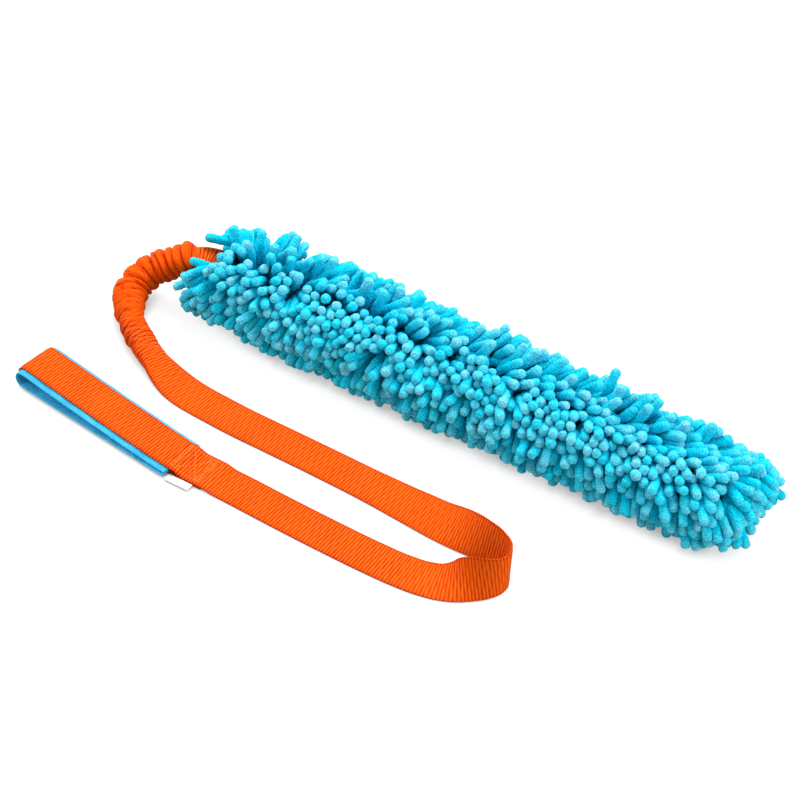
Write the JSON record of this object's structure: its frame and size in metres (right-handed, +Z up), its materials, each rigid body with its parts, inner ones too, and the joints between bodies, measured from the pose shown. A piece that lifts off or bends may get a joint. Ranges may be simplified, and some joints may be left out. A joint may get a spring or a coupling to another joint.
{
  "type": "bungee tug toy",
  "caption": "Dog tug toy: a chenille mop on a ruched bungee, with a long flat webbing strap and a padded hand loop.",
  "frame": {"origin": "middle of the toy's outline, on the surface it lies on", "axes": "+X along the mop from the bungee to its free end, +Y from the strap towards the mop, +Z up"},
  "size_m": [0.6642, 0.2932, 0.0919],
  "materials": {
    "blue_chenille": "matt fluffy chenille noodles",
    "blue_cloth": "matt woven cloth",
    "orange_webbing": "ribbed nylon webbing, slight sheen",
    "orange_thread": "sewing thread",
    "dark_thread": "dark sewing thread",
    "black_elastic": "braided elastic cord",
    "blue_lining": "soft padded fleece",
    "white_label": "smooth woven tape"
  },
  "bodies": {
    "mop": {"mop_sleeve_06": "blue_chenille", "mop_sleeve_07": "blue_chenille", "mop_sleeve_08": "blue_chenille", "mop_sleeve_09": "blue_chenille", "mop_sleeve_10": "blue_chenille", "mop_sleeve_11": "blue_chenille", "mop_hem_free_end": "blue_cloth", "core_webbing_free_half": "orange_webbing"},
    "mop_bungee_half": {"mop_sleeve_01": "blue_chenille", "mop_sleeve_02": "blue_chenille", "mop_sleeve_03": "blue_chenille", "mop_sleeve_04": "blue_chenille", "mop_sleeve_05": "blue_chenille", "mop_hem_bungee_end": "blue_cloth", "core_webbing_bungee_half": "orange_webbing", "stub_bar_tack": "dark_thread"},
    "bungee": {"ruched_sleeve": "orange_webbing", "elastic_cord_a": "black_elastic", "elastic_cord_b": "black_elastic"},
    "strap": {"strap_upper_run": "orange_webbing", "strap_turn": "orange_webbing", "sewn_end_stitches": "orange_thread"},
    "strap_lower": {"strap_lower_run": "orange_webbing", "loop_sewn_end": "orange_webbing", "box_stitch": "orange_thread"},
    "hand_loop": {"loop_webbing": "orange_webbing", "loop_lining": "blue_lining"},
    "label": {"label": "white_label"}
  },
  "joints": [
    {"name": "mop_bend", "type": "hinge", "parent": "mop", "child": "mop_bungee_half", "pos_m": [0.0396, 0.0825, 0.046], "axis": [0, 1, 0], "range_deg": [-30, 30], "stiffness_Nm_per_rad": 1.5, "deforming": ["mop_sleeve_06"]},
    {"name": "handle_swing", "type": "hinge", "parent": "mop_bungee_half", "child": "bungee", "pos_m": [-0.2664, 0.074, 0.051], "axis": [0, 0, 1], "range_deg": [-60, 3]},
    {"name": "bungee_stretch", "type": "slide", "parent": "bungee", "child": "strap", "axis": [0, -1, 0], "range_m": [0, 0.12], "stiffness_N_per_m": 400, "deforming": ["ruched_sleeve", "elastic_cord_a", "elastic_cord_b"]},
    {"name": "strap_turn", "type": "hinge", "parent": "strap", "child": "strap_lower", "pos_m": [0.1546, -0.1025, 0], "axis": [0, 0, 1], "range_deg": [-2, 75], "deforming": ["strap_turn"]},
    {"name": "loop_lift", "type": "hinge", "parent": "strap_lower", "child": "hand_loop", "pos_m": [-0.1404, -0.1185, 0.0093], "axis": [0, 1, 0], "range_deg": [0, 120]},
    {"name": "label_flap", "type": "hinge", "parent": "strap_lower", "child": "label", "pos_m": [-0.1359, -0.1381, 0.0025], "axis": [-1, 0, 0], "range_deg": [0, 85]}
  ]
}
